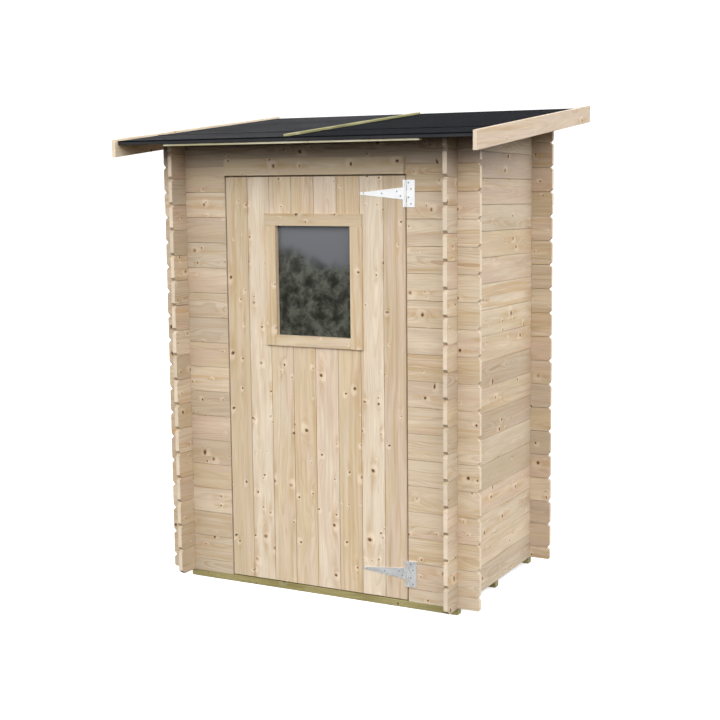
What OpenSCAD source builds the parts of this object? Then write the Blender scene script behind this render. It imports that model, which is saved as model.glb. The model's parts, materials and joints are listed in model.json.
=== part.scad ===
// Small log-board garden shed: notched pine walls on treated bearers, a planked
// door with a fixed window on tee hinges, and a felted lean-to roof that falls
// to the door side. Millimetres, +Z up, front towards -Y, origin on the ground
// at the centre of the plan.

/* [Body] */
// Width over the outer faces of the side walls
body_w = 1384; // [1200:2:2000]
// Depth over the outer faces of the front and back walls
body_d = 862; // [760:2:1400]
// Height of the front wall above the bearers, at its outer face
wall_h = 2005; // [1980:1:2050]
// Slope of the roof, rising from front to back
roof_slope = 7.5; // [4:0.5:12]

/* [Wall boards] */
// Height that one wall board covers
course = 114; // [110:1:116]
// Thickness of the wall boards
board_t = 20; // [16:1:28]
// Length of the log ends beyond the crossing wall
log_end = 101; // [60:1:140]
// Depth of the bevels cut on the ends of each log end
end_bevel = 12; // [0.5:0.5:20]
// Height of the bevel above each joint
nick_above = 14; // [4:1:26]
// Height of the bevel below each joint
nick_below = 12; // [4:1:26]
// Bevel on the lower corner of the lowest front and back log ends
foot_bevel = 5; // [1:0.5:10]
// Depth of the bevel under the side walls' lowest log ends
side_foot_d = 20; // [1:1:30]
// Height of the bevel under the side walls' lowest log ends
side_foot_h = 17; // [1:1:30]
// Half the width of the grooves between the boards
groove_half = 1.3; // [0.8:0.1:3]
// Depth of the grooves between boards, and between the door planks
groove_depth = 5; // [2:0.5:7]
// Play between a notch and the board that sits in it
notch_play = 0.25; // [0.1:0.05:0.5]

/* [Base] */
// Height of the bearers
bearer_h = 31; // [20:1:60]
// Depth of the bearers
bearer_d = 36; // [32:1:60]
// Thickness of the floor boards
floor_t = 16; // [12:1:22]
// Number of floor boards
floor_n = 12; // [8:1:16]

/* [Door] */
// Width of the door leaf
door_w = 904; // [840:2:912]
// Height of the door leaf
door_h = 1829; // [1800:1:1830]
// Thickness of the door planks
plank_t = 15; // [12:1:15]
// Half the width of the grooves between the planks
plank_groove_half = 1.6; // [0.8:0.1:3]
// Gap round the door leaf
door_gap = 6; // [6:0.5:8]
// Gap between the door's bottom edge and the front bearer
door_lift = 5; // [5:0.5:10]
// Thickness of the ledges and of the brace
ledge_t = 20; // [16:1:24]
// Height of the ledges
ledge_h = 90; // [70:1:100]
// Height of the board over the door
head_trim_h = 74; // [60:1:80]
// Thickness of the board over the door
head_trim_t = 15; // [12:1:20]

/* [Window] */
// Width of the opening in the door
window_w = 376; // [300:2:400]
// Height of the opening in the door
window_h = 485; // [400:1:500]
// Height of the opening's lower edge above the ground
window_z = 1166; // [1125:1:1185]
// Width of the surround at the sides
surround_side = 58; // [40:1:70]
// Height of the surround over the window
surround_top = 54; // [40:1:70]
// Height of the surround under the window
surround_bottom = 47; // [40:1:60]
// Thickness of the outer surround
surround_t = 10; // [6:1:12]
// Thickness of the pane
glass_t = 4; // [3:0.5:5]

/* [Hinges] */
// Height of the plate and of the knuckles
hinge_h = 114; // [90:2:130]
// Width of the plate
plate_w = 37; // [30:1:40]
// Length of the strap from the pin to its tip
strap_l = 218; // [150:2:240]
// Height of the strap at the pin
strap_root = 50; // [40:1:60]
// Height of the strap at the tip
strap_tip = 10; // [8:1:16]
// Thickness of the hinge leaves
leaf_t = 2.5; // [2:0.5:3]
// Height of the upper hinge's centre above the ground
upper_hinge_z = 1790; // [1775:1:1800]
// Height of the lower hinge's centre above the ground
lower_hinge_z = 153; // [135:1:200]

/* [Roof] */
// Reach of the roof beyond the side walls
side_eave = 196; // [120:2:240]
// Reach of the roof beyond the front and back walls
front_eave = 242; // [150:2:280]
// Thickness of the roof boards
deck_t = 15; // [12:1:20]
// Thickness of the felt
felt_t = 3; // [2:0.5:4]
// Distance of the roof's edges behind the ends of the barge boards
roof_setback = 20; // [0:1:30]
// Height of the barge boards, which are cut plumb at both ends
barge_h = 78; // [70:1:120]
// Thickness of the barge boards
barge_t = 20; // [16:1:24]
// Height of the barge boards above the felt
barge_rise = 9; // [4:1:14]
// Thickness of the battens on and under the roof
batten_t = 10; // [8:1:20]
// Width of those battens
batten_w = 26; // [20:1:50]
// Length of those battens
batten_l = 1250; // [900:10:1250]

/* [Hidden] */

pine = "#d9c19a";
pine_inside = "#cdb389";
pine_light = "#e2cca6";
treated = "#8f8a4e";
felt_grey = "#35383c";
galvanised = "#c3c7ca";
pane = "#59636e";

front_y = -body_d / 2;
side_x = body_w / 2;
wall_z = bearer_h;
roof_rise = tan(roof_slope);

// Joints between boards: the front and back walls start on half a board, the
// side walls on a whole one, so that the notches lock the courses together.
courses = ceil((wall_h + (body_d + 1) * roof_rise) / course);
front_joints = [for (k = [0 : courses - 1]) (k + 0.5) * course];
side_joints = [for (k = [1 : courses]) k * course];
over_door_joint = floor(wall_h / course - 0.5) * course - course / 2;

opening_w = door_w + 2 * door_gap;
door_z = wall_z + door_lift;
door_top = door_z + door_h;
head_z = door_top + door_gap;
planks = 8;
plank_gap = 0.4;
plank_back = front_y + plank_t;
inner_y = front_y + board_t;
stop_lap = 12;
post_w = 45;
stop_h = 60;
ledge_w = door_w - 2 * (stop_lap + door_gap);
middle_ledge_top = window_z - surround_bottom - 25;

// Where the underside of the roof boards lies over a point of the plan.
function roof_z(y) = wall_z + wall_h + (y - front_y) * roof_rise;

// ---------------------------------------------------------------- walls

// Points along one face of a wall's cross-section, with a V at each joint.
// side is -1 for the low face and +1 for the high one.
function face_points(face, side, joints, low, high) =
    concat(
        [[face, low]],
        [for (z = joints) if (z > low + groove_half && z < high - groove_half)
            each [[face, z - groove_half], [face - side * groove_depth, z],
                  [face, z + groove_half]]],
        [[face, high]]
    );

function reversed(list) = [for (i = [len(list) - 1 : -1 : 0]) list[i]];

// Cross-section of a wall between two heights above the bearers; the top may
// slope from high_out at the low face to high_in at the high face.
module wall_section(joints, low, high_out, high_in) {
    polygon(concat(
        face_points(0, -1, joints, low, high_out),
        reversed(face_points(board_t, 1, joints, low, high_in))
    ));
}

cross_foot = [foot_bevel, foot_bevel];
side_foot = [side_foot_d, side_foot_h];

// Vertical edge of a wall's elevation with the log ends' nicks at its joints.
// side is +1 where the wood lies below x = edge; foot is the depth and height of
// the bevel at the base.
function end_points(edge, side, joints, low, high, foot) =
    concat(
        [[edge - side * foot.x, low], [edge, low + foot.y]],
        [for (z = joints) if (z > low + nick_below + foot.y && z < high - nick_above)
            each [[edge, z - nick_below], [edge - side * end_bevel, z], [edge, z + nick_above]]],
        [[edge, high]]
    );

// Notches where the boards of the crossing wall pass through. Half of each
// board is left; first is the height of the lowest notch's centre.
module crossing_notches(centre, first) {
    for (k = [0 : courses])
        translate([centre - board_t / 2 - notch_play, first + (k - 0.25) * course])
            square([board_t + 2 * notch_play, course / 2]);
}

// Stands an outline drawn in X and Z up as a slab of the walls' thickness
// whose low face is at y.
module upright_x(y) {
    translate([0, y + board_t, wall_z]) rotate([90, 0, 0])
        linear_extrude(board_t) children();
}

// Sweeps a section drawn in Y and Z along X, from x = -half to x = half.
module swept_x(y, half) {
    translate([-half, y, wall_z]) rotate([90, 0, 90])
        linear_extrude(2 * half) children();
}

// A front or back wall between two heights; y is its low face. The outline of
// its elevation is given as the children.
module cross_wall(y, low, high_out, high_in) {
    intersection() {
        swept_x(y, side_x + log_end + 1)
            wall_section(front_joints, low, high_out, high_in);
        upright_x(y) difference() {
            children();
            for (s = [-1, 1])
                crossing_notches(s * (side_x - board_t / 2), course / 2);
        }
    }
}

// Outline of a front wall's part beside the doorway, on the right.
module beside_door_outline() {
    polygon(concat(
        [[opening_w / 2, 0]],
        end_points(side_x + log_end, 1, front_joints, 0, over_door_joint - nick_below,
                   cross_foot),
        [[side_x + log_end - end_bevel, over_door_joint],
         [opening_w / 2, over_door_joint]]
    ));
}

// Outline of the boards over the doorway, with the strip down to its head.
module over_door_outline() {
    top = roof_z(inner_y) - wall_z + 1;
    reach = side_x + log_end;
    polygon([
        [-reach + end_bevel, over_door_joint],
        [-opening_w / 2, over_door_joint],
        [-opening_w / 2, head_z - wall_z],
        [opening_w / 2, head_z - wall_z],
        [opening_w / 2, over_door_joint],
        [reach - end_bevel, over_door_joint],
        [reach, over_door_joint + nick_above],
        [reach, top],
        [-reach, top],
        [-reach, over_door_joint + nick_above]
    ]);
}

module front_wall_right() {
    color(pine) cross_wall(front_y, 0, over_door_joint, over_door_joint)
        beside_door_outline();
}

module front_wall_left() {
    color(pine) cross_wall(front_y, 0, over_door_joint, over_door_joint)
        mirror([1, 0]) beside_door_outline();
}

module front_wall_over_door() {
    color(pine) cross_wall(front_y, head_z - wall_z, wall_h, roof_z(inner_y) - wall_z)
        over_door_outline();
}

module back_wall() {
    outer = -front_y;
    top = roof_z(outer) - wall_z;
    reach = side_x + log_end;
    color(pine) cross_wall(outer - board_t, 0, roof_z(outer - board_t) - wall_z, top)
        polygon(concat(
            end_points(reach, 1, front_joints, 0, top + 1, cross_foot),
            reversed(end_points(-reach, -1, front_joints, 0, top + 1, cross_foot))
        ));
}

// A side wall whose low face is at x. Its top edge follows the roof.
module side_wall(x) {
    reach = -front_y + log_end;
    low_top = roof_z(-reach) - wall_z;
    high_top = roof_z(reach) - wall_z;
    color(pine) intersection() {
        translate([x, reach + 1, wall_z]) rotate([90, 0, 0])
            linear_extrude(2 * reach + 2)
                wall_section(side_joints, 0, high_top + 1, high_top + 1);
        translate([x, 0, wall_z]) rotate([90, 0, 90])
            linear_extrude(board_t) difference() {
                polygon(concat(
                    end_points(reach, 1, side_joints, 0, high_top, side_foot),
                    reversed(end_points(-reach, -1, side_joints, 0, low_top, side_foot))
                ));
                for (s = [-1, 1])
                    crossing_notches(s * (-front_y - board_t / 2), 0);
            }
    }
}

module left_wall() { side_wall(-side_x); }
module right_wall() { side_wall(side_x - board_t); }

// ---------------------------------------------------------------- base

// Boxes are placed by their lowest corner.
module block(corner, size) { translate(corner) cube(size); }

module bearer(y) {
    color(treated) block([-side_x, y, 0], [body_w, bearer_d, bearer_h]);
}

module bearer_front() { bearer(front_y); }
module bearer_middle() { bearer(-bearer_d / 2); }
module bearer_back() { bearer(-front_y - bearer_d); }

module floor_boards() {
    play = 1;
    pitch = (body_w - 2 * board_t - play) / floor_n;
    color(pine_inside) for (i = [0 : floor_n - 1])
        block([-side_x + board_t + play + i * pitch, inner_y + play, wall_z],
              [pitch - play, body_d - 2 * board_t - 2 * play, floor_t]);
}

// ---------------------------------------------------------------- doorway

module door_head_trim() {
    color(pine_light) block([-door_w / 2, front_y - head_trim_t, head_z],
                            [door_w, head_trim_t, head_trim_h]);
}

// Post behind the wall boards beside the doorway; its edge stops the door.
module door_post_right() {
    color(pine_inside) block([door_w / 2 - stop_lap, inner_y, wall_z + floor_t],
                             [post_w, post_w, head_z + stop_h - wall_z - floor_t]);
}

module door_post_left() { mirror([1, 0, 0]) door_post_right(); }

module door_stop_head() {
    reach = door_w / 2 - stop_lap;
    color(pine_inside) block([-reach, inner_y, door_top - stop_lap],
                             [2 * reach, board_t, stop_h]);
}

// ---------------------------------------------------------------- door

module window_opening() {
    block([-window_w / 2, front_y - 1, window_z], [window_w, plank_t + 2, window_h]);
}

// Where the joint right of plank i lies. The planks are as wide as the wall
// boards, but for the last one, which is cut to what is left at the hinges.
function plank_edge(i) = i < planks ? -door_w / 2 + i * course : door_w / 2;

// Plan of plank i, counted from 1 at the edge that opens, with its front edges
// bevelled.
module plank_plan(i) {
    left = plank_edge(i - 1) + (i > 1 ? plank_gap / 2 : 0);
    right = plank_edge(i) - (i < planks ? plank_gap / 2 : 0);
    polygon([
        [left + plank_groove_half, 0], [right - plank_groove_half, 0],
        [right, groove_depth], [right, plank_t], [left, plank_t], [left, groove_depth]
    ]);
}

// Plank i between two heights.
module plank(i, low, high) {
    color(i % 2 == 0 ? pine_light : pine) translate([0, front_y, low])
        linear_extrude(high - low) plank_plan(i);
}

module notched_plank(i) {
    difference() {
        plank(i, door_z, door_top);
        window_opening();
    }
}

module door_plank_1() { plank(1, door_z, door_top); }
module door_plank_2() { plank(2, door_z, door_top); }
module door_plank_3() { notched_plank(3); }
module door_plank_6() { notched_plank(6); }
module door_plank_7() { plank(7, door_z, door_top); }
module door_plank_8() { plank(8, door_z, door_top); }

module door_planks_over_window() {
    for (i = [4, 5]) plank(i, window_z + window_h, door_top);
}

module door_planks_under_window() {
    for (i = [4, 5]) plank(i, door_z, window_z);
}

module ledge(z) {
    color(pine_inside) block([-ledge_w / 2, plank_back, z], [ledge_w, ledge_t, ledge_h]);
}

module door_ledge_top() { ledge(upper_hinge_z - ledge_h / 2); }
module door_ledge_middle() { ledge(middle_ledge_top - ledge_h); }
module door_ledge_bottom() { ledge(lower_hinge_z - ledge_h / 2); }

// Brace from the bottom ledge at the hinges up to the middle ledge.
module door_brace() {
    low = lower_hinge_z + ledge_h / 2;
    high = middle_ledge_top - ledge_h;
    foot = ledge_w / 2 - 30;
    flat = 110;
    color(pine_inside) translate([0, plank_back + ledge_t, 0]) rotate([90, 0, 0])
        linear_extrude(ledge_t) polygon([
            [foot - flat, low], [foot, low], [-foot + flat, high], [-foot, high]
        ]);
}

// ---------------------------------------------------------------- window

pane_lap = 12;

module window_glass() {
    color(pane) block([-window_w / 2 - pane_lap, plank_back, window_z - pane_lap],
                      [window_w + 2 * pane_lap, glass_t, window_h + 2 * pane_lap]);
}

module surround_board(x, z, w, h) {
    color(pine_light) block([x, front_y - surround_t, z], [w, surround_t, h]);
}

surround_w = window_w + 2 * surround_side;

module window_surround_top() {
    surround_board(-surround_w / 2, window_z + window_h, surround_w, surround_top);
}

module window_surround_bottom() {
    surround_board(-window_w / 2, window_z - surround_bottom, window_w, surround_bottom);
}

module window_surround_right() {
    surround_board(window_w / 2, window_z - surround_bottom,
                   surround_side, window_h + surround_bottom);
}

module window_surround_left() { mirror([1, 0, 0]) window_surround_right(); }

// Boards of the frame inside, rebated for the pane.
frame_t = glass_t + 12;

module frame_board(x, z, w, h) {
    color(pine_inside) difference() {
        block([x, plank_back, z], [w, frame_t, h]);
        block([-window_w / 2 - pane_lap, plank_back - 1, window_z - pane_lap],
              [window_w + 2 * pane_lap, glass_t + 1, window_h + 2 * pane_lap]);
    }
}

module window_frame_top() {
    frame_board(-surround_w / 2, window_z + window_h, surround_w, surround_top);
}

module window_frame_bottom() {
    frame_board(-surround_w / 2, window_z - surround_bottom, surround_w, surround_bottom);
}

module window_frame_right() {
    frame_board(window_w / 2, window_z, surround_side, window_h);
}

module window_frame_left() {
    frame_board(-window_w / 2 - surround_side, window_z, surround_side, window_h);
}

// ---------------------------------------------------------------- hinges

pin_x = (door_w + door_gap) / 2;
barrel_r = 4.5;
pin_r = 2.4;
pin_play = 0.1;
knuckle_play = 0.6;
knuckles = 5;
knuckle_h = hinge_h / knuckles;
leaf_edge = barrel_r + 1;
bar_w = 8;

// Knuckles first, first + 2 ... of a barrel, bored for the pin or solid.
module barrel(first, bored) {
    for (k = [first : 2 : knuckles - 1])
        translate([0, -barrel_r, -hinge_h / 2 + k * knuckle_h + knuckle_play / 2])
            difference() {
                union() {
                    cylinder(h = knuckle_h - knuckle_play, r = barrel_r, $fn = 48);
                    children();
                }
                if (bored) translate([0, 0, -1])
                    cylinder(h = knuckle_h + 2, r = pin_r + pin_play, $fn = 48);
            }
}

// Tongue that carries a knuckle to its leaf, on the side given.
module tongue(side) {
    translate([side < 0 ? -leaf_edge - 1 : 0, barrel_r - leaf_t, 0])
        cube([leaf_edge + 1, leaf_t, knuckle_h - knuckle_play]);
}

// Plate on the wall, with its knuckles and the pin.
module hinge_plate(z) {
    color(galvanised) translate([pin_x, front_y, z]) {
        block([leaf_edge, -leaf_t, -hinge_h / 2], [plate_w, leaf_t, hinge_h]);
        barrel(0, false) tongue(1);
        translate([0, -barrel_r, -hinge_h / 2]) cylinder(h = hinge_h, r = pin_r, $fn = 48);
    }
}

// Tapered strap on the door, with the bar along its knuckles.
module hinge_strap(z) {
    tip_r = strap_tip / 2;
    color(galvanised) translate([pin_x, front_y, z]) {
        rotate([90, 0, 0]) linear_extrude(leaf_t) {
            polygon([
                [-leaf_edge - bar_w, -strap_root / 2],
                [-leaf_edge - bar_w, strap_root / 2],
                [-strap_l + tip_r, tip_r],
                [-strap_l + tip_r, -tip_r]
            ]);
            translate([-strap_l + tip_r, 0]) circle(r = tip_r, $fn = 32);
            translate([-leaf_edge - bar_w, -hinge_h / 2]) square([bar_w, hinge_h]);
        }
        barrel(1, true) tongue(-1);
    }
}

module hinge_strap_upper() { hinge_strap(upper_hinge_z); }
module hinge_strap_lower() { hinge_strap(lower_hinge_z); }
module hinge_plate_upper() { hinge_plate(upper_hinge_z); }
module hinge_plate_lower() { hinge_plate(lower_hinge_z); }

// ---------------------------------------------------------------- roof

// Frame of the roof: Y runs up the slope from above the front wall's outer
// face, Z stands square to the underside of the roof boards.
module on_roof() {
    translate([0, front_y, wall_z + wall_h]) rotate([roof_slope, 0, 0]) children();
}

// Along the slope, where the middle of the plan and the roof's edges lie.
roof_middle = body_d / 2 / cos(roof_slope);
roof_half = (body_d / 2 + front_eave - roof_setback) / cos(roof_slope);
roof_front = roof_middle - roof_half;
roof_back = roof_middle + roof_half;
deck_half = side_x + side_eave - barge_t;
seam_gap = 1;

module roof_block(x, y, z, size) { on_roof() block([x, y, z], size); }

module roof_boards_right() {
    color(pine_inside)
        roof_block(seam_gap / 2, roof_front + felt_t, 0,
                   [deck_half - seam_gap / 2, roof_back - roof_front - 2 * felt_t, deck_t]);
}

module roof_boards_left() { mirror([1, 0, 0]) roof_boards_right(); }

// Sheet of felt over one half, folded down over both edges of the boards.
module roof_felt_right() {
    length = roof_back - roof_front;
    color(felt_grey) on_roof() translate([seam_gap / 2, roof_front, 0]) difference() {
        cube([deck_half - seam_gap / 2, length, deck_t + felt_t]);
        translate([-1, felt_t, -1])
            cube([deck_half + 2, length - 2 * felt_t, deck_t + 1]);
    }
}

module roof_felt_left() { mirror([1, 0, 0]) roof_felt_right(); }

seam_batten_inset = 20;
eave_batten_inset = 5;

module roof_seam_batten() {
    color(treated)
        roof_block(-batten_w / 2, roof_front + seam_batten_inset, deck_t + felt_t,
                   [batten_w, batten_l, batten_t]);
}

module eave_batten(y) {
    color(treated) roof_block(-batten_l / 2, y, -batten_t, [batten_l, batten_w, batten_t]);
}

module eave_batten_front() { eave_batten(roof_front + eave_batten_inset); }
module eave_batten_back() { eave_batten(roof_back - eave_batten_inset - batten_w); }

module barge_board_right() {
    reach = body_d / 2 + front_eave;
    above = (deck_t + felt_t) / cos(roof_slope) + barge_rise;
    color(pine_light) translate([deck_half, 0, 0]) rotate([90, 0, 90])
        linear_extrude(barge_t) polygon([
            for (y = [-reach, reach]) [y, roof_z(y) + above - barge_h],
            for (y = [reach, -reach]) [y, roof_z(y) + above]
        ]);
}

module barge_board_left() { mirror([1, 0, 0]) barge_board_right(); }

// ---------------------------------------------------------------- nodes

bearer_front();
bearer_middle();
bearer_back();
floor_boards();
front_wall_left();
front_wall_right();
front_wall_over_door();
back_wall();
left_wall();
right_wall();
door_head_trim();
door_post_left();
door_post_right();
door_stop_head();
door_plank_1();
door_plank_2();
door_plank_3();
door_planks_over_window();
door_planks_under_window();
door_plank_6();
door_plank_7();
door_plank_8();
window_glass();
window_surround_top();
window_surround_bottom();
window_surround_left();
window_surround_right();
window_frame_top();
window_frame_bottom();
window_frame_left();
window_frame_right();
door_ledge_top();
door_ledge_middle();
door_ledge_bottom();
door_brace();
hinge_strap_upper();
hinge_strap_lower();
hinge_plate_upper();
hinge_plate_lower();
roof_boards_left();
roof_boards_right();
roof_felt_left();
roof_felt_right();
roof_seam_batten();
eave_batten_front();
eave_batten_back();
barge_board_left();
barge_board_right();
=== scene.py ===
import json
import math
import random

import bmesh
import bpy
from mathutils import Matrix, Vector

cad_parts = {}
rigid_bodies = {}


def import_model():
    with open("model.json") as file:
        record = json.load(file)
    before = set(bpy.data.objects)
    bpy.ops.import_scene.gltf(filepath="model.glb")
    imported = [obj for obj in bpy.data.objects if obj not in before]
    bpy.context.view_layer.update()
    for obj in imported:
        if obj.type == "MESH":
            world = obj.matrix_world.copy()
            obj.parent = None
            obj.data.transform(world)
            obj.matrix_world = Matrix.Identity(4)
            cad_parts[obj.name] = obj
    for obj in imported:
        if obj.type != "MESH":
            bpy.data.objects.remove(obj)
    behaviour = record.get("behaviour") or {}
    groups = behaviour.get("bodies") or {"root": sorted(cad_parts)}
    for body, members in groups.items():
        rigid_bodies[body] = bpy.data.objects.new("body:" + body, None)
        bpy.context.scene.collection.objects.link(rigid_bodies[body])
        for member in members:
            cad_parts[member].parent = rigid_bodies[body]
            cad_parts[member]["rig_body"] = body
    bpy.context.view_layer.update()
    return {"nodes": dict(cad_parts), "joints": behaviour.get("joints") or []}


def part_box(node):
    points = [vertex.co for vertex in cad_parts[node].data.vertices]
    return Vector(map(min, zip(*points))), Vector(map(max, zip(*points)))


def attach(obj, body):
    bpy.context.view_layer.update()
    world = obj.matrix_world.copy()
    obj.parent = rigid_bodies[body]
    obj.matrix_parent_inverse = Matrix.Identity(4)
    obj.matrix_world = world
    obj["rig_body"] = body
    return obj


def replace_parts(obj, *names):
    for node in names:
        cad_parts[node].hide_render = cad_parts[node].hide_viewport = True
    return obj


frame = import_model()

# Everything is in metres. The shed stands on the ground at z = 0 with its door
# towards -Y, and the roof rises towards +Y.

ROOF_SLOPE = math.radians(7.5)
COURSE = 0.114  # height that one wall board covers, and width of a door plank
ROOF_BOARD = 0.100  # width that one roof board covers
DOOR_PLANKS = 8
FLOOR_BOARDS = 12

WALL_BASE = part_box("left_wall")[0].z
DOOR_LEFT, DOOR_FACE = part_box("door_plank_1")[0].x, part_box("door_plank_1")[0].y
DOOR_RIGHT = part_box("door_plank_8")[1].x
FLOOR_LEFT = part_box("floor_boards")[0].x
FLOOR_PITCH = (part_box("floor_boards")[1].x - FLOOR_LEFT) / FLOOR_BOARDS
HINGE_PIN = frame["joints"][0]["pos_m"][0]  # where the pins stand along X


# ------------------------------------------------------------- node recipes

class Recipe:
    """Builds one material's node tree out of sums, noises and fades."""

    def __init__(self, name):
        self.material = bpy.data.materials.new(name)
        self.material.use_nodes = True
        self.tree = self.material.node_tree
        self.tree.nodes.clear()
        output = self.tree.nodes.new("ShaderNodeOutputMaterial")
        self.shader = self.tree.nodes.new("ShaderNodeBsdfPrincipled")
        self.tree.links.new(self.shader.outputs[0], output.inputs["Surface"])

    def feed(self, socket, value):
        """Links or sets a socket. A colour of three numbers gets full opacity."""
        if isinstance(value, bpy.types.NodeSocket):
            self.tree.links.new(value, socket)
        elif isinstance(value, (int, float)):
            socket.default_value = value
        elif len(socket.default_value) == 4:
            socket.default_value = (*value, 1.0)
        else:
            socket.default_value = value

    def add(self, kind, settings, values, result=0):
        """A new node of the kind, set and fed, of which one output is given back."""
        node = self.tree.nodes.new("ShaderNode" + kind)
        for name, setting in settings.items():
            setattr(node, name, setting)
        for name, value in values.items():
            self.feed(node.inputs[name], value)
        return node.outputs[result]

    def sum(self, operation, *terms):
        """One sum, under the name that the Math node has for it."""
        return self.add("Math", {"operation": operation}, dict(enumerate(terms)))

    def plus(self, first, second):
        return self.sum("ADD", first, second)

    def minus(self, first, second):
        return self.sum("SUBTRACT", first, second)

    def over(self, first, second):
        return self.sum("DIVIDE", first, second)

    def times(self, *factors):
        product = factors[0]
        for factor in factors[1:]:
            product = self.sum("MULTIPLY", product, factor)
        return product

    def times_plus(self, first, second, third):
        """first times second, plus third."""
        return self.sum("MULTIPLY_ADD", first, second, third)

    def point(self, x, y, z):
        return self.add("CombineXYZ", {}, {"X": x, "Y": y, "Z": z})

    def parts(self, vector):
        """The three numbers that a vector or a colour is made of."""
        node = self.tree.nodes.new("ShaderNodeSeparateXYZ")
        self.feed(node.inputs[0], vector)
        return node.outputs

    def object_place(self):
        return self.add("TexCoord", {}, {}, "Object")

    def attribute(self, name, result="Fac"):
        return self.add("Attribute", {"attribute_name": name}, {}, result)

    def noise(self, vector, scale, detail=2.0, roughness=0.5, result="Fac"):
        return self.add("TexNoise", {"noise_dimensions": "3D"},
                        {"Vector": vector, "Scale": scale, "Detail": detail,
                         "Roughness": roughness}, result)

    def fade(self, value, start, end, low=0.0, high=1.0):
        """Low where value is start and high where it is end, softly between."""
        return self.add("MapRange", {"interpolation_type": "SMOOTHSTEP"},
                        {"Value": value, "From Min": start, "From Max": end,
                         "To Min": low, "To Max": high})

    def blend(self, share, first, second, way="MIX"):
        node = self.tree.nodes.new("ShaderNodeMix")
        node.data_type = "RGBA"
        node.blend_type = way
        self.feed(node.inputs[0], share)
        self.feed(node.inputs[6], first)
        self.feed(node.inputs[7], second)
        return node.outputs[2]

    def shaded(self, colour, shade):
        """The colour made darker or lighter by the number shade."""
        grey = self.add("CombineColor", {}, {"Red": shade, "Green": shade, "Blue": shade})
        return self.blend(1.0, colour, grey, "MULTIPLY")

    def finish(self, colour, roughness, height, depth, **constants):
        """Wires the surface. Height is turned to a bump of the given depth."""
        self.feed(self.shader.inputs["Base Color"], colour)
        self.feed(self.shader.inputs["Roughness"], roughness)
        bump = self.add("Bump", {}, {"Strength": 1.0, "Distance": depth, "Height": height},
                        "Normal")
        self.feed(self.shader.inputs["Normal"], bump)
        for name, value in constants.items():
            self.feed(self.shader.inputs[name.replace("_", " ")], value)
        return self.material


# --------------------------------------------------------------- softwood

# Branches grow out of the trunk in whorls, with small twigs between them. Spacing
# runs along the trunk and fan, in radians, round it. Small and large are radii.
WHORLS = {"spacing": 0.30, "fan": 0.75, "small": 0.0045, "large": 0.0090}
TWIGS = {"spacing": 0.14, "fan": 0.55, "small": 0.0024, "large": 0.0048}
TWIG_SHARE = 0.60  # how often a twig's place is taken, set against a whorl's
TRUNK_BEND = 0.04  # how far the trunk's heart strays
SLOW_GROWTH, FAST_GROWTH = 0.0028, 0.0056  # width of a year's ring


def branches(r, tree, share, spacing, fan, small, large):
    """Knots, where branches grow out from the heart. They come in cells, and share
    of the cells has one. Gives their dark middle, brown rim, pale surround, resin
    run and swelling."""
    along, turn, radius, tone = tree
    along_cell = r.times_plus(along, 1 / spacing, r.times(tone, 37.0))
    turn_cell = r.times_plus(turn, 1 / fan, r.times(tone, 19.0))
    cells = r.tree.nodes.new("ShaderNodeTexVoronoi")
    cells.voronoi_dimensions = "2D"
    r.feed(cells.inputs["Vector"], r.point(along_cell, turn_cell, 0.0))
    r.feed(cells.inputs["Scale"], 1.0)
    r.feed(cells.inputs["Randomness"], 0.9)
    chance, slant, girth = r.parts(cells.outputs["Color"])
    knot_along, knot_turn, _ = r.parts(cells.outputs["Position"])

    # The branch climbs as it leaves the heart, by an amount of its own.
    climb = r.times(r.minus(slant, 0.5), r.minus(radius, 0.06))
    off_along = r.times_plus(r.minus(along_cell, knot_along), spacing, climb)
    off_turn = r.times(r.minus(turn_cell, knot_turn), fan, radius)
    there = r.fade(chance, 1.0 - share, 1.01 - share)
    size = r.times(there, r.fade(girth, 0.0, 1.0, small, large))
    size = r.sum("MAXIMUM", size, 0.0001)

    # From here on everything is measured in the knot's own radius.
    off_turn, off_along = r.over(off_turn, size), r.over(off_along, size)
    side, length = r.sum("ABSOLUTE", off_turn), r.sum("ABSOLUTE", off_along)

    def distance(across, lengthwise, stretch):
        return r.sum("SQRT", r.times_plus(across, across,
                                          r.times(lengthwise, lengthwise, stretch)))

    ragged = r.noise(r.point(r.times(along, 190.0), r.times(turn, 14.0), radius), 1.0)
    reach = r.times_plus(r.minus(ragged, 0.5), 1.1, distance(side, length, 1.0))
    halo = distance(r.minus(off_turn, 0.9), r.plus(off_along, 1.0), 0.5)
    dark = r.times(there, r.fade(slant, 0.10, 0.60, 0.45, 1.0))

    core = r.times(r.fade(reach, 1.1, 0.5), dark)
    rim = r.times(r.fade(reach, 1.7, 0.9), dark)
    surround = r.times(r.fade(halo, 3.1, 1.0), there)
    resin = r.times(r.fade(side, 2.4, 0.3), r.fade(length, 17.0, 2.0), there,
                    r.fade(girth, 0.35, 0.6))
    swelling = r.times(r.sum("EXPONENT", r.times(distance(side, length, 0.2), -0.6)),
                       size, 3.2)
    return core, rim, surround, resin, swelling


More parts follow.
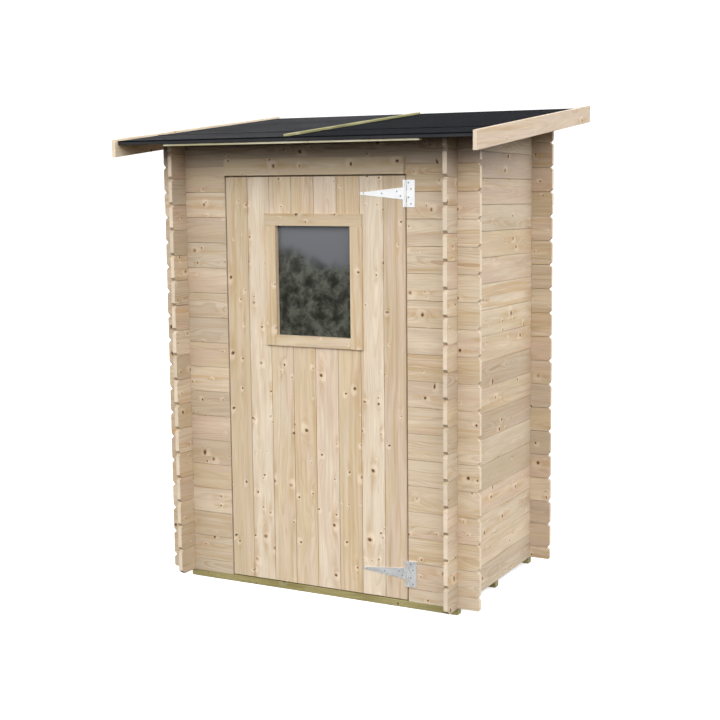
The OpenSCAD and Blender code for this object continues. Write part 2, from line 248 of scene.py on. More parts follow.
def softwood(name, honey, rose, pale, late, orange, knot, cream, contrast, knot_share, sawn,
             aged=None, aged_share=0.0):
    """Solid softwood: growth rings round the tree's heart, knots that run out
    from it, and fibres along it. Reads where each point lies in its own board.
    End grain and the wood around knots take the colour cream, and the darker
    boards lean towards the greyer colour aged."""
    r = Recipe(name)
    along, across, deep = r.parts(r.attribute("grain", "Vector"))
    tone = r.attribute("board")
    rosy, bleached, streaky = r.parts(r.attribute("looks", "Vector"))
    light = r.attribute("light")
    end = r.attribute("end")

    def board_chance(factor):
        """A number from 0 to 1 that each board has of its own."""
        return r.sum("FRACT", r.times(tone, factor))

    # The trunk is never quite straight or round.
    drift = r.noise(r.point(r.times(along, 1.9), r.times(across, 8.0),
                            r.times_plus(deep, 8.0, tone)), 1.0, result="Color")
    drift_across, drift_deep, _ = r.parts(drift)
    across_tree = r.times_plus(r.minus(drift_across, 0.5), TRUNK_BEND, across)
    deep_tree = r.times_plus(r.minus(drift_deep, 0.5), TRUNK_BEND, deep)
    radius = r.sum("SQRT", r.plus(r.times(across_tree, across_tree),
                                  r.times(deep_tree, deep_tree)))
    turn = r.sum("ARCTAN2", across_tree, deep_tree)

    tree = (along, turn, radius, tone)
    whorls = branches(r, tree, knot_share, **WHORLS)
    twigs = branches(r, tree, knot_share * TWIG_SHARE, **TWIGS)
    core, rim, surround, resin = (r.sum("MAXIMUM", a, b) for a, b in zip(whorls[:4], twigs[:4]))
    swelling = r.plus(whorls[4], twigs[4])
    side_grain = r.fade(end, 0.4, 0.1)
    core, rim = r.times(core, side_grain), r.times(rim, side_grain)

    # Rings: pale spring wood, then a darker line of summer wood.
    years = r.over(r.plus(radius, swelling),
                   r.fade(board_chance(5.3), 0.0, 1.0, SLOW_GROWTH, FAST_GROWTH))
    season = r.sum("FRACT", years)
    good_years = r.noise(r.point(r.times(along, 0.4), years, tone), 0.45)
    summer = r.times(r.fade(season, 0.40, 0.90), r.fade(season, 1.0, 0.93),
                     r.fade(good_years, 0.35, 0.70, 0.25, 1.0),
                     r.fade(board_chance(9.7), 0.0, 1.0, 0.55, 1.0))

    # Slow changes of colour along the board, and streaks that follow the grain.
    patch = r.noise(r.point(r.times(along, 3.4), r.times(across, 24.0),
                            r.times_plus(tone, 40.0, deep)), 1.0, 3.0, 0.55, "Color")
    warm, faded, deepened = r.parts(patch)
    streak = r.noise(r.point(r.times(along, 0.9), r.times(across_tree, 62.0),
                             r.times_plus(tone, 9.0, r.times(deep_tree, 62.0))), 1.0)
    fibre = r.noise(r.point(r.times(along, 9.0), r.times(across, 420.0),
                            r.times(deep, 420.0)), 1.0, 3.0, 0.6)
    warm = r.times_plus(rosy, 0.36, warm)
    faded = r.times_plus(bleached, 0.36, faded)
    streak = r.times_plus(streaky, 0.16, streak)

    wood = r.blend(r.fade(warm, 0.52, 0.82), honey, rose)
    wood = r.blend(r.fade(faded, 0.58, 0.90), wood, pale)
    wood = r.blend(r.fade(streak, 0.58, 0.82, 0.0, 0.60), wood, orange)
    wood = r.blend(r.times(resin, 0.60), wood, orange)
    if aged_share:
        wood = r.blend(r.fade(light, 0.55, 0.0, 0.0, aged_share), wood, aged)
    wood = r.blend(r.times(summer, contrast), wood, late)
    wood = r.blend(r.times(surround, 0.60), wood, cream)
    wood = r.blend(r.fade(end, 0.6, 0.9, 0.0, 0.75), wood, cream)
    wood = r.blend(r.times(rim, 0.60), wood, orange)
    wood = r.blend(r.times(core, 0.93), wood, knot)

    # The nicks' bevelled faces are darkened by a tenth: painted shade in the notches.
    nick = r.times(r.fade(end, 0.1, 0.4), r.fade(end, 0.9, 0.6))
    shade = r.times(r.fade(deepened, 0.25, 0.75, 0.94, 1.05),
                    r.fade(nick, 0.0, 1.0, 1.0, 0.90),
                    r.fade(fibre, 0.25, 0.75, 0.93, 1.05),
                    r.fade(light, 0.0, 1.0, 0.93, 1.04))
    height = r.times_plus(summer, 0.35, r.times(fibre, 0.5 + sawn))
    if sawn:
        teeth = r.noise(r.point(r.times(along, 300.0), r.times(across, 9.0),
                                r.times(deep, 9.0)), 1.0)
        shade = r.times(shade, r.fade(teeth, 0.3, 0.7, 1.0 - 0.12 * sawn, 1.0))
        height = r.times_plus(teeth, sawn, height)
    height = r.times_plus(core, 0.5, height)
    rough = r.fade(fibre, 0.2, 0.8, 0.56 + 0.2 * sawn, 0.74 + 0.14 * sawn)
    return r.finish(r.shaded(wood, shade), rough, height, 0.00035, Specular_IOR_Level=0.3)


SPRUCE = {"late": (0.37, 0.245, 0.140), "orange": (0.51, 0.335, 0.170),
          "knot": (0.075, 0.034, 0.017)}
WALL_SPRUCE = softwood(
    "wall_spruce", honey=(0.565, 0.450, 0.298), rose=(0.575, 0.440, 0.332),
    pale=(0.640, 0.535, 0.400), cream=(0.72, 0.605, 0.465), contrast=0.60,
    knot_share=0.42, sawn=0.0, aged=(0.50, 0.425, 0.345), aged_share=0.33, **SPRUCE)
DOOR_SPRUCE = softwood(
    "door_spruce", honey=(0.620, 0.497, 0.330), rose=(0.650, 0.515, 0.395),
    pale=(0.700, 0.598, 0.465), cream=(0.80, 0.670, 0.520), contrast=0.32,
    knot_share=0.50, sawn=0.0, **SPRUCE)
INNER_SPRUCE = softwood(
    "inner_spruce", honey=(0.500, 0.395, 0.265), rose=(0.505, 0.390, 0.285),
    pale=(0.525, 0.435, 0.320), cream=(0.62, 0.520, 0.390), contrast=0.50,
    knot_share=0.38, sawn=0.35, **SPRUCE)
# Roof boards get a near-black wood colour. This is painted shade for the dark undersides of the
# eaves, and it also keeps bounced light out from under them.
EAVE_SHADE_ROOF_SPRUCE = softwood(
    "roof_spruce_painted_shade", honey=(0.125, 0.102, 0.075), rose=(0.115, 0.092, 0.068),
    pale=(0.145, 0.120, 0.090), late=(0.08, 0.06, 0.04), orange=(0.10, 0.075, 0.045),
    knot=(0.03, 0.018, 0.010), cream=(0.17, 0.14, 0.10), contrast=0.5, knot_share=0.35,
    sawn=0.5)
TREATED_PINE = softwood(
    "treated_pine", honey=(0.31, 0.265, 0.102), rose=(0.25, 0.215, 0.078),
    pale=(0.385, 0.335, 0.148), late=(0.19, 0.160, 0.055), orange=(0.31, 0.24, 0.09),
    knot=(0.07, 0.04, 0.015), cream=(0.36, 0.33, 0.18), contrast=0.5, knot_share=0.2,
    sawn=0.8)
BATTEN_PINE = softwood(
    "batten_pine", honey=(0.64, 0.60, 0.415), rose=(0.52, 0.49, 0.300),
    pale=(0.76, 0.71, 0.530), late=(0.34, 0.31, 0.125), orange=(0.43, 0.37, 0.15),
    knot=(0.09, 0.05, 0.02), cream=(0.56, 0.53, 0.30), contrast=0.4, knot_share=0.15,
    sawn=0.5)
SEAM_PINE = softwood(
    "seam_pine", honey=(0.26, 0.252, 0.095), rose=(0.13, 0.126, 0.040),
    pale=(0.42, 0.405, 0.205), late=(0.20, 0.185, 0.080), orange=(0.28, 0.24, 0.11),
    knot=(0.07, 0.05, 0.02), cream=(0.46, 0.44, 0.27), contrast=0.5, knot_share=0.15,
    sawn=0.5)


# -------------------------------------------------------- felt, zinc, glass

def roofing_felt():
    """Bitumen felt: near-black, with fine mineral grit and slack patches."""
    r = Recipe("roofing_felt")
    place = r.object_place()
    tone = r.attribute("board")
    grit = r.noise(place, 900.0, 2.0, 0.7)
    coarse = r.noise(place, 260.0, 2.0, 0.6)
    patch = r.noise(place, 3.2, 3.0, 0.55)
    # The board attribute makes the felt paler grey: painted sheen on the left half and painted
    # light on the turned-down edges. At 0 it is the darkest, used as painted shadow on the
    # crease.
    colour = r.blend(tone, (0.006, 0.007, 0.009), (0.050, 0.050, 0.053))
    colour = r.blend(r.fade(grit, 0.56, 0.72, 0.0, 0.30), colour, (0.036, 0.039, 0.044))
    colour = r.blend(r.fade(patch, 0.35, 0.75, 0.0, 0.4), colour, (0.013, 0.014, 0.017))
    height = r.times_plus(coarse, 0.6, grit)
    rough = r.fade(patch, 0.3, 0.7, 0.80, 0.92)
    return r.finish(colour, rough, height, 0.0006, Specular_IOR_Level=0.006)


def zinc(name, dull, bright, stain):
    """Zinc-coated steel: dull grey with crystal patches and rolling marks."""
    r = Recipe(name)
    place = r.object_place()
    crystal = r.parts(r.add("TexVoronoi", {}, {"Vector": place, "Scale": 160.0}, "Color"))[0]
    marks = r.noise(place, 700.0, 2.0, 0.6)
    cloud = r.noise(place, 28.0)
    colour = r.blend(r.fade(crystal, 0.1, 0.9, 0.0, 0.6), dull, bright)
    colour = r.blend(r.fade(cloud, 0.45, 0.8, 0.0, 0.4), colour, stain)
    rough = r.fade(crystal, 0.0, 1.0, 0.34, 0.50)
    return r.finish(colour, rough, marks, 0.00006, Metallic=0.75)


def window_glass():
    """A tinted pane with painted reflections: a mottle of dark and mid green-grey, a painted
    reflection of foliage, and bluer and paler at the top, a painted reflection of the sky."""
    r = Recipe("window_glass")
    place = r.object_place()
    pane_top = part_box("window_glass")[1].z
    blotch = r.noise(place, 17.0, 7.0, 0.66)
    haze = r.noise(place, 4.5, 3.0, 0.55)
    height = r.times_plus(r.minus(haze, 0.5), 0.22, r.parts(place)[2])
    # Painted reflection of the sky: towards the top the pane turns bluer and paler and lets
    # less light through.
    sky_reflection = r.fade(height, pane_top - 0.20, pane_top - 0.10)
    # Painted reflection of foliage: a mottle of dark and mid green-grey.
    foliage_reflection = r.blend(r.fade(blotch, 0.36, 0.66), (0.036, 0.039, 0.029), (0.172, 0.178, 0.144))
    colour = r.blend(sky_reflection, foliage_reflection, (0.170, 0.177, 0.196))
    clear = r.fade(sky_reflection, 0.0, 1.0, 0.45, 0.25)
    rough = r.fade(blotch, 0.3, 0.7, 0.02, 0.10)
    return r.finish(colour, rough, blotch, 0.00003, Transmission_Weight=clear, IOR=1.5)


ROOFING_FELT = roofing_felt()
GALVANISED_STEEL = zinc("galvanised_steel", (0.92, 0.935, 0.95), (0.99, 0.99, 0.99),
                        (0.82, 0.84, 0.87))
SCREW_STEEL = zinc("screw_steel", (0.36, 0.37, 0.39), (0.50, 0.51, 0.53), (0.30, 0.30, 0.31))
WINDOW_GLASS = window_glass()


# --------------------------------------------------------- grain and boards

# Each row of an axes matrix is a direction in the shed's frame: along the
# board's grain, across its face, and through its thickness.
ALONG_X = Matrix(((1, 0, 0), (0, 0, 1), (0, 1, 0)))
ALONG_Y = Matrix(((0, 1, 0), (0, 0, 1), (1, 0, 0)))
ALONG_Z = Matrix(((0, 0, 1), (1, 0, 0), (0, 1, 0)))
FLAT_ALONG_Y = Matrix(((0, 1, 0), (1, 0, 0), (0, 0, 1)))
UP_THE_ROOF = Vector((0, math.cos(ROOF_SLOPE), math.sin(ROOF_SLOPE)))
OFF_THE_ROOF = Vector((0, -math.sin(ROOF_SLOPE), math.cos(ROOF_SLOPE)))
UP_THE_SLOPE = Matrix((UP_THE_ROOF, OFF_THE_ROOF, (1, 0, 0)))
ON_THE_SLOPE = Matrix(((1, 0, 0), UP_THE_ROOF, OFF_THE_ROOF))


def courses_from(start):
    """Numbers the courses of a wall whose joints lie at start + n courses."""
    return lambda point: math.floor((point.z - WALL_BASE) / COURSE - start)


def door_plank_at(point):
    """The last plank, at the hinges, is narrower than the others."""
    return min(DOOR_PLANKS - 1, math.floor((point.x - DOOR_LEFT) / COURSE))


def floor_board_at(point):
    return math.floor((point.x - FLOOR_LEFT) / FLOOR_PITCH)


def roof_board_at(point):
    """The roof boards run from side to side."""
    return math.floor((ON_THE_SLOPE @ point).y / ROOF_BOARD)


def one_board(point):
    return 0


def lay_grain(mesh, name, axes, board_at, known_looks=()):
    """Writes, on each face's corners, where they lie in the tree that the board
    was cut from, and on each face the board's own number from 0 to 1, how rosy,
    bleached, streaky and light it is, and whether it is end grain: 0 along the
    board, 0.5 on a bevelled nick, 1 on an end."""
    mesh.attributes.new("grain", "FLOAT_VECTOR", "CORNER")
    mesh.attributes.new("looks", "FLOAT_VECTOR", "FACE")
    for layer in ("board", "light", "end"):
        mesh.attributes.new(layer, "FLOAT", "FACE")
    grain, looks = mesh.attributes["grain"], mesh.attributes["looks"]
    tone, light, end = (mesh.attributes[layer] for layer in ("board", "light", "end"))
    boards = {}
    for face in mesh.polygons:
        boards.setdefault(board_at(face.center), []).append(face)
    for number, faces in boards.items():
        chance = random.Random(f"{name} {number}")
        chance.random()  # drawn and not used; the draws after it follow on from it
        corners = [axes @ mesh.vertices[v].co for face in faces for v in face.vertices]
        low, high = Vector(map(min, *corners)), Vector(map(max, *corners))
        middle, half_depth = (low + high) / 2, (high - low).z / 2
        start = Vector((chance.uniform(0.0, 9.0), chance.uniform(-0.03, 0.03),
                        chance.uniform(0.030, 0.085) + half_depth))
        flip = [chance.choice((-1, 1)) for _ in range(3)]
        board_tone = chance.random()
        # Without known looks, the board's own number is spread into four.
        traits = [board_tone * factor % 1.0 for factor in (7.3, 13.7, 17.9, 23.1)]
        if known_looks:
            traits = known_looks[number % len(known_looks)]
        for face in faces:
            for corner in face.loop_indices:
                point = axes @ mesh.vertices[mesh.loops[corner].vertex_index].co - middle
                grain.data[corner].vector = start + Vector(a * b for a, b in zip(point, flip))
            tone.data[face.index].value = board_tone
            looks.data[face.index].vector = traits[:3]
            light.data[face.index].value = traits[3]
            towards_end = abs((axes @ face.normal).x)
            end.data[face.index].value = (towards_end > 0.25) * 0.5 + (towards_end > 0.95) * 0.5


def merged_copy(node):
    """The CAD node's own shape as one clean mesh of flat faces."""
    work = bmesh.new()
    work.from_mesh(frame["nodes"][node].data)
    bmesh.ops.remove_doubles(work, verts=work.verts, dist=1e-6)
    bmesh.ops.dissolve_limit(work, angle_limit=math.radians(0.5), verts=work.verts,
                             edges=work.edges)
    return work


def ease_edges(work, width, segments):
    """Takes the sharpness off every outer edge, as sanding and handling do."""
    outer = [e for e in work.edges
             if e.is_manifold and e.is_convex and e.calc_face_angle(0.0) > math.radians(12)]
    bmesh.ops.bevel(work, geom=outer, offset=width, offset_type="OFFSET", segments=segments,
                    profile=0.5, affect="EDGES", clamp_overlap=True, material=-1)


def place_piece(name, work, material, body):
    """Turns the finished bmesh into a piece of the shed that rides on the body."""
    mesh = bpy.data.meshes.new(name)
    work.to_mesh(mesh)
    work.free()
    mesh.materials.append(material)
    piece = bpy.data.objects.new(name, mesh)
    bpy.context.scene.collection.objects.link(piece)
    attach(piece, body)
    return piece


def dressed(node, material, axes, board_at=one_board, ease=0.0012, segments=2, joints=(),
            known_looks=()):
    """The piece that stands for a timber node: edges eased, grain laid. Its faces
    are cut at the heights of the joints, so that no face spans two boards."""
    work = merged_copy(node)
    ease_edges(work, ease, segments)
    for height in joints:
        bmesh.ops.bisect_plane(work, geom=work.verts[:] + work.edges[:] + work.faces[:],
                               plane_co=(0, 0, height), plane_no=(0, 0, 1))
    body = frame["nodes"][node]["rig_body"]
    piece = place_piece(f"{node}_finished", work, material, body)
    lay_grain(piece.data, node, axes, board_at, known_looks)
    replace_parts(piece, node)


# -------------------------------------------------------- walls, door, base

PLANED_EASE = 0.0006  # radius at the edges of wall boards and door planks
TALLEST_WALL = 20  # courses, more than any wall has

# Looks are how rosy, bleached, streaky and light a board is, from 0 to 1. The
# boards beside the hinges are the palest of the pack; their paleness is painted light,
# for the brighter light on that side of the door.
HINGE_SIDE_LOOKS_AND_LIGHT = ((0.7, 0.5, 0.2, 0.9), (0.2, 0.5, 0.8, 0.9), (0.8, 0.7, 0.1, 0.9),
                    (0.2, 0.6, 0.5, 0.95), (0.1, 0.8, 0.3, 0.85), (0.4, 0.9, 0.6, 0.9),
                    (0.6, 0.8, 0.4, 0.8))

# Pale, pinkish and honey-coloured planks stand side by side in the door.
HONEY, PINK, MILKY = (0.2, 0.1, 0.3, 0.0), (0.95, 0.5, 0.2, 0.8), (0.5, 1.0, 0.1, 0.95)
STREAKED = (0.2, 0.2, 0.9, 0.7)
PLANK_LOOKS = (HONEY, (0.5, 0.9, 0.2, 0.7), (0.3, 0.4, 0.4, 0.6), (0.3, 0.1, 0.9, 0.7),
               PINK, (0.2, 0.2, 0.8, 0.6), MILKY, (0.6, 0.1, 0.8, 0.3))


def dress_wall(node, axes, start, known_looks=()):
    """A wall whose courses meet at start + n courses above the walls' base."""
    joints = [WALL_BASE + (n + start) * COURSE
              for n in range(1 - math.ceil(start), TALLEST_WALL)]
    dressed(node, WALL_SPRUCE, axes, courses_from(start), PLANED_EASE,
            joints=joints, known_looks=known_looks)


def dress_walls():
    """The side walls' courses lie half a course off those of front and back."""
    # The boards right of the door are made paler: painted light.
    dress_wall("front_wall_right", ALONG_X, 0.5, HINGE_SIDE_LOOKS_AND_LIGHT)
    for node in ("front_wall_left", "front_wall_over_door", "back_wall"):
        dress_wall(node, ALONG_X, 0.5)
    for node in ("left_wall", "right_wall"):
        dress_wall(node, ALONG_Y, 0.0)


def dress_door_front():
    """The door's planks, the boards round its window and the one over the door."""
    for place in ("plank_1", "plank_2", "plank_3", "plank_6", "plank_7", "plank_8",
                  "planks_over_window", "planks_under_window"):
        dressed(f"door_{place}", DOOR_SPRUCE, ALONG_Z, door_plank_at,
                PLANED_EASE, known_looks=PLANK_LOOKS)
    for side in ("left", "right"):
        dressed(f"window_surround_{side}", DOOR_SPRUCE, ALONG_Z,
                known_looks=[STREAKED])
    for side in ("top", "bottom"):
        dressed(f"window_surround_{side}", DOOR_SPRUCE, ALONG_X)
    dressed("door_head_trim", DOOR_SPRUCE, ALONG_X, known_looks=[HONEY])


def dress_barge_boards():
    for side in ("left", "right"):
        dressed(f"barge_board_{side}", DOOR_SPRUCE, UP_THE_SLOPE)


def along_brace():
    """Axes along the brace, which falls from the door's free edge to its hinges."""
    low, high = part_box("door_brace")
    tilt = math.atan2(high.z - low.z, low.x - high.x)
    return Matrix(((math.cos(tilt), 0, math.sin(tilt)), (-math.sin(tilt), 0, math.cos(tilt)),
                   (0, 1, 0)))


def dress_inner_timber():
    """Posts, stops, the window's inner frame, the door's back and the floor."""
    for node in ("door_post_left", "door_post_right", "window_frame_left",
                 "window_frame_right"):
        dressed(node, INNER_SPRUCE, ALONG_Z)
    for node in ("door_stop_head", "window_frame_top", "window_frame_bottom",
                 "door_ledge_top", "door_ledge_middle", "door_ledge_bottom"):
        dressed(node, INNER_SPRUCE, ALONG_X)
    dressed("door_brace", INNER_SPRUCE, along_brace())
    dressed("floor_boards", INNER_SPRUCE, FLAT_ALONG_Y, floor_board_at)


def dress_roof_boards():
    # The roof boards take the near-black wood that paints the shade under the eaves.
    for side in ("left", "right"):
        dressed(f"roof_boards_{side}", EAVE_SHADE_ROOF_SPRUCE, ON_THE_SLOPE,
                roof_board_at)


def dress_treated_timber():
    """Bearers under the shed, and battens on and under the roof."""
    for place in ("front", "middle", "back"):
        dressed(f"bearer_{place}", TREATED_PINE, ALONG_X, ease=0.003,
                segments=3)
    for place in ("front", "back"):
        dressed(f"eave_batten_{place}", BATTEN_PINE, ON_THE_SLOPE,
                ease=0.002)
    dressed("roof_seam_batten", SEAM_PINE, UP_THE_SLOPE, ease=0.002)


dress_walls()
dress_door_front()
dress_barge_boards()
dress_inner_timber()
dress_roof_boards()
dress_treated_timber()


# ------------------------------------------------------------ roofing felt

# How grey each half of the felt is, and its turned-down edges. The left half's paler
# grey is painted sheen, and the paler turned-down edges are painted light from the front.
FELT_SHEEN_AND_FOLD_LIGHT = {"roof_felt_left": (0.65, 0.85), "roof_felt_right": (0.0, 1.0)}
FELT_EASE = 0.0022
FELT_INSET = 0.001  # laps and creases stop this far short of the sheet's sides
LAP_LINE = -0.370  # the upper course of felt ends here, over the lower one
LAP_RISE, LAP_LENGTH = 0.0025, 0.150
LAP_BEDDING = 0.002  # how deep the lap is bedded in the sheet below
CREASE_RADIUS = 0.003


def felt_piece(name, work, tone, painted_fold_light):
    """A piece of felt, whose faces towards the front and back are turned down and take
    the fold's tone, a paler grey that is painted light.
    """
    piece = place_piece(name, work, ROOFING_FELT, "shed")
    painted_light_and_shade = piece.data.attributes.new("board", "FLOAT", "FACE")
    for face, value in zip(piece.data.polygons, painted_light_and_shade.data):
        value.value = painted_fold_light if abs(face.normal.y) > 0.7 else tone
    return piece


def felt_sheet(node, tone, painted_fold_light):
    """One half of the roof's felt, with the softly folded edges of a sheet."""
    work = merged_copy(node)
    ease_edges(work, FELT_EASE, 3)
    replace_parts(felt_piece(f"{node}_finished", work, tone, painted_fold_light), node)


def felt_lap(node, tone):
    """The thick lower edge of the upper course of felt, thinning up the slope."""
    low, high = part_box(node)
    upper_back_edge = Vector((0, high.y, high.z))
    front = upper_back_edge - UP_THE_ROOF * ((high.y - LAP_LINE) / math.cos(ROOF_SLOPE))
    section = (front - OFF_THE_ROOF * LAP_BEDDING, front + OFF_THE_ROOF * LAP_RISE,
               front + UP_THE_ROOF * LAP_LENGTH - OFF_THE_ROOF * LAP_BEDDING)
    left = Vector((low.x + FELT_INSET, 0, 0))
    width = Vector((high.x - low.x - 2 * FELT_INSET, 0, 0))
    work = bmesh.new()
    face = work.faces.new([work.verts.new(left + corner) for corner in section])
    wedge = bmesh.ops.extrude_face_region(work, geom=[face])
    bmesh.ops.translate(work, vec=width,
                        verts=[v for v in wedge["geom"] if isinstance(v, bmesh.types.BMVert)])
    bmesh.ops.recalc_face_normals(work, faces=work.faces)
    felt_piece(f"{node}_lap", work, tone, tone)


def felt_crease(node):
    """A dark rolled edge where the sheet turns down over the front eave, in the felt's
    darkest tone: painted shadow for the shade line under the turned edge.
    """
    low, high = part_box(node)
    front_edge = high.z - (high.y - low.y) * math.tan(ROOF_SLOPE)
    inside = CREASE_RADIUS / 2
    work = bmesh.new()
    bmesh.ops.create_cone(work, cap_ends=True, segments=10, radius1=CREASE_RADIUS,
                          radius2=CREASE_RADIUS, depth=high.x - low.x - 2 * FELT_INSET)
    middle = Vector(((low.x + high.x) / 2, low.y + inside, front_edge - inside))
    bmesh.ops.transform(work, matrix=Matrix.Translation(middle)
                        @ Matrix.Rotation(math.pi / 2, 4, "Y"), verts=work.verts)
    # Tone 0 is the darkest felt: painted shadow.
    felt_piece(f"{node}_crease", work, 0.0, 0.0)


# Each half's paler grey is painted sheen, and its edges' paler grey is painted light.
for node, (tone, painted_fold_light) in FELT_SHEEN_AND_FOLD_LIGHT.items():
    felt_sheet(node, tone, painted_fold_light)
for node, (tone, _) in FELT_SHEEN_AND_FOLD_LIGHT.items():
    felt_lap(node, tone)
for node in FELT_SHEEN_AND_FOLD_LIGHT:
    felt_crease(node)


# ------------------------------------------------- window, hinges and screws

LEAF_THICKNESS = 0.0025  # of the hinges
HINGE_SCREW, LEDGE_SCREW = 0.0036, 0.0040  # radius of the heads
LEDGE_SCREW_OFF = Vector((0.020, 0, 0.022))  # from the middle of ledge and plank

# Screws beside the pin, as steps along X from it and up from the hinge's middle.
STRAP_SCREWS = ((-0.201, 0.001), (-0.113, 0.0), (-0.042, 0.009), (-0.025, -0.010))
PLATE_SCREWS = ((0.0135, 0.045), (0.0250, 0.019), (0.0135, -0.016), (0.0250, -0.043))


def paint(node, material):
    """Gives a node that keeps its own CAD mesh its material."""
    materials = frame["nodes"][node].data.materials
    materials.clear()
    materials.append(material)


def add_screw(work, place, outward, turn, head):
    """A raised countersunk head with a cross recess, its rim resting at place."""
    rise, cross, depth = head * 0.30, head * 0.20, head * 0.55
    made = bmesh.ops.create_cone(work, cap_ends=True, segments=14, radius1=head,
                                 radius2=head * 0.62, depth=rise)
    verts = list(made["verts"])
    faces = {f for v in verts for f in v.link_faces}

    def on_top():
        return [f for f in faces if f.is_valid and f.calc_center_median().z > rise * 0.49]

    for axis in (Vector((1, 0, 0)), Vector((0, 1, 0))):
        for side in (-cross, cross):
            geom = {g for f in on_top() for g in (f, *f.edges, *f.verts)}
            cut = bmesh.ops.bisect_plane(work, geom=list(geom), plane_co=axis * side,
                                         plane_no=axis)
            faces |= {g for g in cut["geom"] if isinstance(g, bmesh.types.BMFace)}
            verts += [g for g in cut["geom_cut"] if isinstance(g, bmesh.types.BMVert)]
    reach = head * 0.45 + rise
    slot = [f for f in on_top() if f.calc_center_median().length < reach
            and min(abs(f.calc_center_median().x), abs(f.calc_center_median().y)) < cross * 0.9]
    sunk = bmesh.ops.extrude_face_region(work, geom=slot)
    down = [g for g in sunk["geom"] if isinstance(g, bmesh.types.BMVert)]
    bmesh.ops.translate(work, vec=(0, 0, -depth), verts=down)
    bmesh.ops.delete(work, geom=slot, context="FACES")
    verts = {v for v in (*verts, *down) if v.is_valid}
    spin = outward.to_track_quat("Z", "Y").to_matrix().to_4x4() @ Matrix.Rotation(turn, 4, "Z")
    bmesh.ops.transform(work, matrix=Matrix.Translation(place + outward * rise / 2) @ spin,
                        verts=list(verts))


def screws(name, body, places, outward, head):
    """One piece with a screw at each place, turned as chance has it."""
    work = bmesh.new()
    chance = random.Random(name)
    for place in places:
        add_screw(work, Vector(place), Vector(outward), chance.uniform(0, math.pi), head)
    place_piece(name, work, SCREW_STEEL, body)


def hinge_screws(level):
    """Four screws in the strap on the door, and four in the plate on the wall."""
    low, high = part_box(f"hinge_plate_{level}")
    middle = (low.z + high.z) / 2
    for leaf, body, steps in (("strap", "door", STRAP_SCREWS), ("plate", "shed", PLATE_SCREWS)):
        places = [(HINGE_PIN + x, DOOR_FACE - LEAF_THICKNESS, middle + z) for x, z in steps]
        screws(f"hinge_{leaf}_{level}_screws", body, places, (0, -1, 0), HINGE_SCREW)


def ledge_screws(level):
    """Two screws slantwise into each plank, leaning by turns left and right."""
    low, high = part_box(f"door_ledge_{level}")
    places = []
    for number in range(DOOR_PLANKS):
        plank_left = DOOR_LEFT + COURSE * number
        plank_right = min(plank_left + COURSE, DOOR_RIGHT)
        middle = Vector(((plank_left + plank_right) / 2, high.y, (low.z + high.z) / 2))
        step = LEDGE_SCREW_OFF.copy()
        step.x *= (-1) ** number
        places += [middle - step, middle + step]
    screws(f"door_ledge_{level}_screws", "door", places, (0, 1, 0), LEDGE_SCREW)


for node in ("hinge_plate_upper", "hinge_plate_lower", "hinge_strap_upper",
             "hinge_strap_lower"):
    paint(node, GALVANISED_STEEL)
paint("window_glass", WINDOW_GLASS)
for level in ("upper", "lower"):
    hinge_screws(level)
for level in ("top", "middle", "bottom"):
    ledge_screws(level)


# ------------------------------------------------- floor, lights and camera

FLOOR_REACH = 240.0  # so far that its edge never shows
ROOM_STRENGTH = 3.02
# How bright the room is, from straight below (0) over level (0.5) to overhead (1).
ROOM_LEVELS = ((0.465, 0.01), (0.487, 0.34), (0.55, 0.42), (0.61, 0.80), (0.66, 1.0),
               (0.75, 1.0), (0.82, 0.82), (0.86, 0.33), (0.93, 0.13))
LAMP_STRENGTH, LAMP_SPREAD = 0.60, math.radians(50)
LAMP_AZIMUTH, LAMP_ELEVATION = math.radians(45), math.radians(32)

CAMERA_PLACE = (2.8201, -5.0723, 1.7753)
CAMERA_YAW, CAMERA_PITCH, CAMERA_ROLL = 0.4419, -0.1168, -0.0024  # radians


def studio_floor():
    """A plain pale floor, which gives off some light of its own."""
    r = Recipe("studio_floor")
    r.feed(r.shader.inputs["Base Color"], (0.9, 0.9, 0.9))
    r.feed(r.shader.inputs["Roughness"], 0.9)
    r.feed(r.shader.inputs["Emission Color"], (1.0, 1.0, 1.0))
    r.feed(r.shader.inputs["Emission Strength"], 0.50)
    work = bmesh.new()
    bmesh.ops.create_grid(work, x_segments=1, y_segments=1, size=FLOOR_REACH)
    mesh = bpy.data.meshes.new("studio_floor")
    work.to_mesh(mesh)
    work.free()
    mesh.materials.append(r.material)
    floor = bpy.data.objects.new("studio_floor", mesh)
    bpy.context.scene.collection.objects.link(floor)
    floor.visible_diffuse = False
    floor.visible_glossy = False


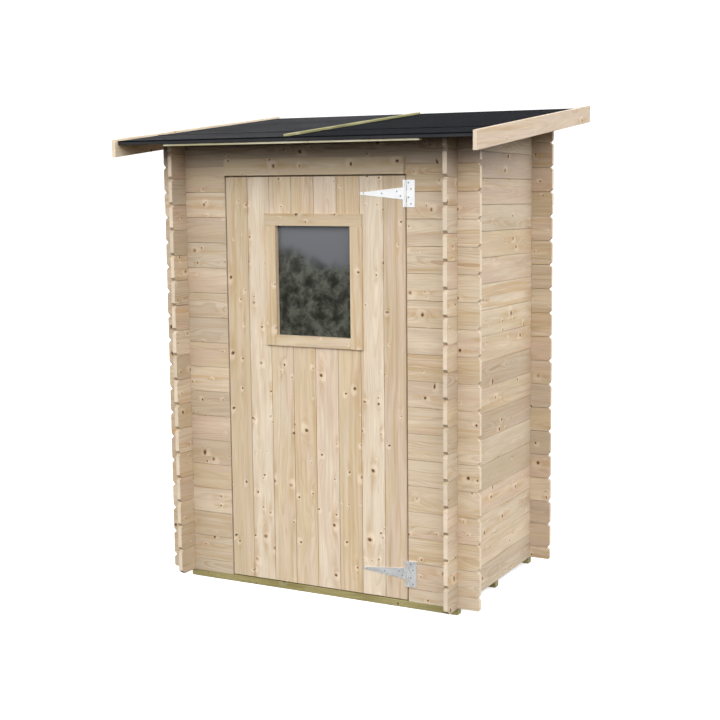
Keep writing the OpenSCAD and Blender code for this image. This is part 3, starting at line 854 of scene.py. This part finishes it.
def studio_room():
    """A white room: bright all round up to half height, dimmer overhead, and dark
    below, so that eaves and undersides fall into shade."""
    world = bpy.data.worlds.new("studio")
    bpy.context.scene.world = world
    world.use_nodes = True
    room = world.node_tree
    room.nodes.clear()
    direction = room.nodes.new("ShaderNodeTexCoord")
    parts = room.nodes.new("ShaderNodeSeparateXYZ")
    height = room.nodes.new("ShaderNodeMapRange")
    height.inputs["From Min"].default_value = -1.0
    ramp = room.nodes.new("ShaderNodeValToRGB")
    stops = ramp.color_ramp.elements
    stops[0].position, stops[1].position = ROOM_LEVELS[0][0], ROOM_LEVELS[-1][0]
    for position, _ in ROOM_LEVELS[1:-1]:
        stops.new(position)
    for stop, (_, level) in zip(stops, ROOM_LEVELS):
        stop.color = (level, level, level, 1.0)
    background = room.nodes.new("ShaderNodeBackground")
    background.inputs["Strength"].default_value = ROOM_STRENGTH
    output = room.nodes.new("ShaderNodeOutputWorld")
    room.links.new(direction.outputs["Generated"], parts.inputs[0])
    room.links.new(parts.outputs["Z"], height.inputs["Value"])
    room.links.new(height.outputs[0], ramp.inputs[0])
    room.links.new(ramp.outputs[0], background.inputs["Color"])
    room.links.new(background.outputs[0], output.inputs["Surface"])


def studio_lamp():
    """A wide, soft lamp at the right of the door, which adds form."""
    lamp = bpy.data.lights.new("key_light", "SUN")
    lamp.energy, lamp.angle = LAMP_STRENGTH, LAMP_SPREAD
    stand = bpy.data.objects.new("key_light", lamp)
    towards = Vector((math.sin(LAMP_AZIMUTH) * math.cos(LAMP_ELEVATION),
                      -math.cos(LAMP_AZIMUTH) * math.cos(LAMP_ELEVATION),
                      math.sin(LAMP_ELEVATION)))
    stand.rotation_euler = towards.to_track_quat("Z", "Y").to_euler()
    stand.location = towards * 5
    bpy.context.scene.collection.objects.link(stand)


def studio_camera():
    """Stands at eye height, to the right of the door, a little askew."""
    camera = bpy.data.cameras.new("camera")
    camera.sensor_width = 36.0
    camera.lens = 61.825
    camera.shift_x = -0.115
    camera.shift_y = -0.025
    camera.clip_end = 800.0
    stand = bpy.data.objects.new("camera", camera)
    stand.matrix_world = (Matrix.Translation(CAMERA_PLACE)
                          @ Matrix.Rotation(CAMERA_YAW, 4, "Z")
                          @ Matrix.Rotation(math.pi / 2 + CAMERA_PITCH, 4, "X")
                          @ Matrix.Rotation(CAMERA_ROLL, 4, "Z"))
    bpy.context.scene.collection.objects.link(stand)
    bpy.context.scene.camera = stand


studio_floor()
studio_room()
studio_lamp()
studio_camera()
bpy.context.scene.view_settings.view_transform = "Standard"
